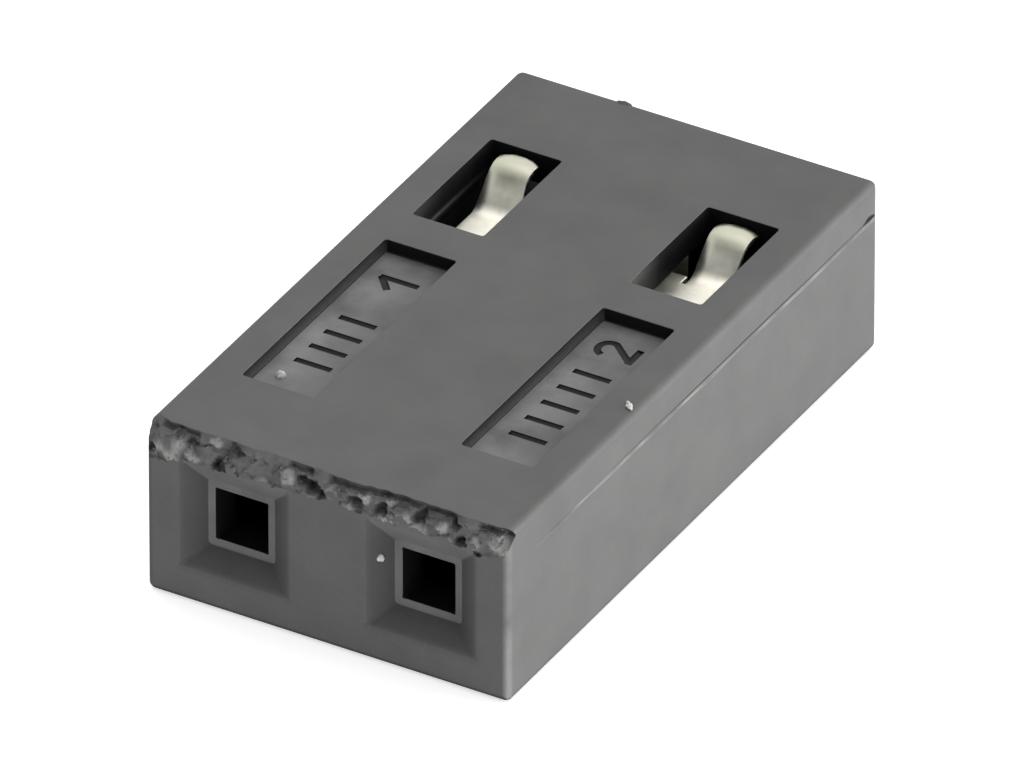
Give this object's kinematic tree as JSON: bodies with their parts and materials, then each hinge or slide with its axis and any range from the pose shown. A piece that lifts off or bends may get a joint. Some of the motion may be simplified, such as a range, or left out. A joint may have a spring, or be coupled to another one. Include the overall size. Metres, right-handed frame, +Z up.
{
  "type": "two-pin shunt connector",
  "caption": "Flat moulded block that slides over neighbouring square header pins and joins them through a folded spring contact; funnel entries, roof windows and a torn front edge.",
  "frame": {"origin": "middle of the base, on the surface that the part lies on", "axes": "+X across the two pins, +Y from the pin entry to the back, +Z up through the roof with the windows"},
  "size_m": [0.005, 0.0089, 0.0024],
  "materials": {
    "moulded_plastic": "matt spark-eroded moulded plastic, dark grey",
    "tinned_strip": "bright tin plate over a copper alloy strip"
  },
  "bodies": {
    "root": {"housing": "moulded_plastic", "shorting_contact": "tinned_strip"}
  },
  "joints": []
}
